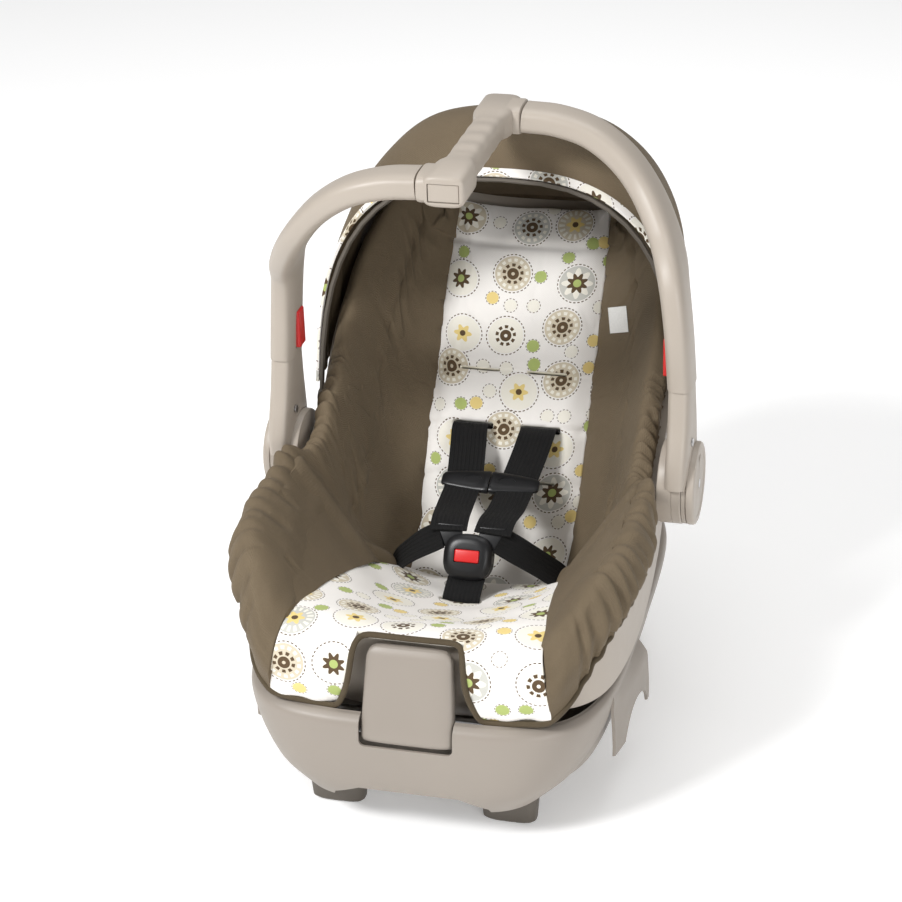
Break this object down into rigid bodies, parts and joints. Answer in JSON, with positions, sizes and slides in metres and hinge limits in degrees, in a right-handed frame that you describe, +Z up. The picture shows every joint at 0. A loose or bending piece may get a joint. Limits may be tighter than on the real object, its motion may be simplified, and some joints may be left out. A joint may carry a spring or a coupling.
{
  "type": "infant car seat",
  "caption": "Rear-facing infant car seat: padded carrier shell with harness, folding canopy and rotating Z-shaped handle on a removable base with a release lever.",
  "frame": {"origin": "On the floor, midway between the extreme front and back and between the two sides. The handle's pivot line is straight above it.", "axes": "+X to the right as one faces the seat from its foot end, +Y from the foot end towards the head end, +Z up"},
  "size_m": [0.439, 0.6329, 0.5855],
  "materials": {
    "grey_plastic": "fine matte texture",
    "dark_plastic": "matte",
    "black_plastic": "satin",
    "red_plastic": "gloss",
    "taupe_fabric": "woven, padded",
    "print_fabric": "printed, padded",
    "webbing": "woven webbing",
    "foam": "beaded foam",
    "steel": "satin"
  },
  "bodies": {
    "base": {"base_shell": "grey_plastic", "foot_front_left": "dark_plastic", "foot_front_right": "dark_plastic", "foot_middle_left": "dark_plastic", "foot_middle_right": "dark_plastic", "foot_rear_left": "dark_plastic", "foot_rear_right": "dark_plastic", "release_lever_pin": "steel", "latch_bar_front": "steel", "latch_bar_rear": "steel"},
    "carrier": {"carrier_shell": "grey_plastic", "foam_liner": "foam", "cover_back": "print_fabric", "cover_seat": "print_fabric", "cover_front_flap": "print_fabric", "crotch_strap": "webbing", "adjuster_strap": "webbing", "splitter_plate": "steel", "harness_adjuster": "dark_plastic", "buckle_body": "black_plastic", "button_spring": "steel", "canopy_fabric": "taupe_fabric", "canopy_rear_bow": "dark_plastic", "chest_clip_left": "black_plastic", "cover_bolster_left": "taupe_fabric", "cover_bolster_right": "taupe_fabric", "hub_drum_left": "grey_plastic", "hub_drum_right": "grey_plastic", "shoulder_strap_left": "webbing", "shoulder_strap_right": "webbing", "lap_strap_left": "webbing", "lap_strap_right": "webbing", "hip_anchor_left": "steel", "hip_anchor_right": "steel", "canopy_mount_left": "grey_plastic", "canopy_mount_right": "grey_plastic"},
    "handle": {"handle_grip": "grey_plastic", "grip_badge": "grey_plastic", "handle_arm_left": "grey_plastic", "handle_arm_right": "grey_plastic", "handle_leg_left": "grey_plastic", "handle_leg_right": "grey_plastic", "hub_cover_left": "grey_plastic", "hub_cover_right": "grey_plastic", "hub_screw_left": "steel", "hub_screw_right": "steel", "pivot_pin_left": "steel", "pivot_pin_right": "steel", "lever_spring_left": "steel", "lever_spring_right": "steel", "leg_screw_left": "steel", "leg_screw_right": "steel"},
    "base_lever": {"base_release_lever": "grey_plastic"},
    "canopy_bow": {"canopy_front_bow": "dark_plastic"},
    "button": {"buckle_button": "red_plastic"},
    "clip_half": {"chest_clip_right": "black_plastic"},
    "tongue_left": {"buckle_tongue_left": "black_plastic"},
    "tongue_right": {"buckle_tongue_right": "black_plastic"},
    "squeeze_lever_left": {"release_lever_left": "red_plastic"},
    "squeeze_lever_right": {"release_lever_right": "red_plastic"}
  },
  "joints": [
    {"name": "carrier_lift", "type": "slide", "parent": "base", "child": "carrier", "axis": [0, 0, 1], "range_m": [0, 0.25]},
    {"name": "handle_rotate", "type": "hinge", "parent": "carrier", "child": "handle", "pos_m": [0, 0, 0.237], "axis": [1, 0, 0], "range_deg": [0, 50]},
    {"name": "canopy_fold", "type": "hinge", "parent": "carrier", "child": "canopy_bow", "pos_m": [0, 0.056, 0.27], "axis": [-1, 0, 0], "range_deg": [0, 22], "deforming": ["canopy_fabric"]},
    {"name": "base_lever_pull", "type": "hinge", "parent": "base", "child": "base_lever", "pos_m": [0, -0.306, 0.113], "axis": [1, 0, 0], "range_deg": [0, 12], "stiffness_Nm_per_rad": 1.2},
    {"name": "buckle_button_press", "type": "slide", "parent": "carrier", "child": "button", "axis": [0, 0.866, -0.5], "range_m": [0, 0.002], "stiffness_N_per_m": 600, "deforming": ["button_spring"]},
    {"name": "chest_clip_release", "type": "slide", "parent": "carrier", "child": "clip_half", "axis": [1, 0, 0], "range_m": [0, 0.02], "deforming": ["shoulder_strap_right"]},
    {"name": "tongue_left_release", "type": "slide", "parent": "carrier", "child": "tongue_left", "axis": [0, 0.5, 0.866], "range_m": [0, 0.02], "deforming": ["shoulder_strap_left", "lap_strap_left"]},
    {"name": "tongue_right_release", "type": "slide", "parent": "carrier", "child": "tongue_right", "axis": [0, 0.5, 0.866], "range_m": [0, 0.02], "deforming": ["lap_strap_right"]},
    {"name": "handle_release_left", "type": "slide", "parent": "handle", "child": "squeeze_lever_left", "axis": [-1, 0, 0], "range_m": [0, 0.0025], "stiffness_N_per_m": 900},
    {"name": "handle_release_right", "type": "slide", "parent": "handle", "child": "squeeze_lever_right", "axis": [1, 0, 0], "range_m": [0, 0.0025], "stiffness_N_per_m": 900}
  ]
}
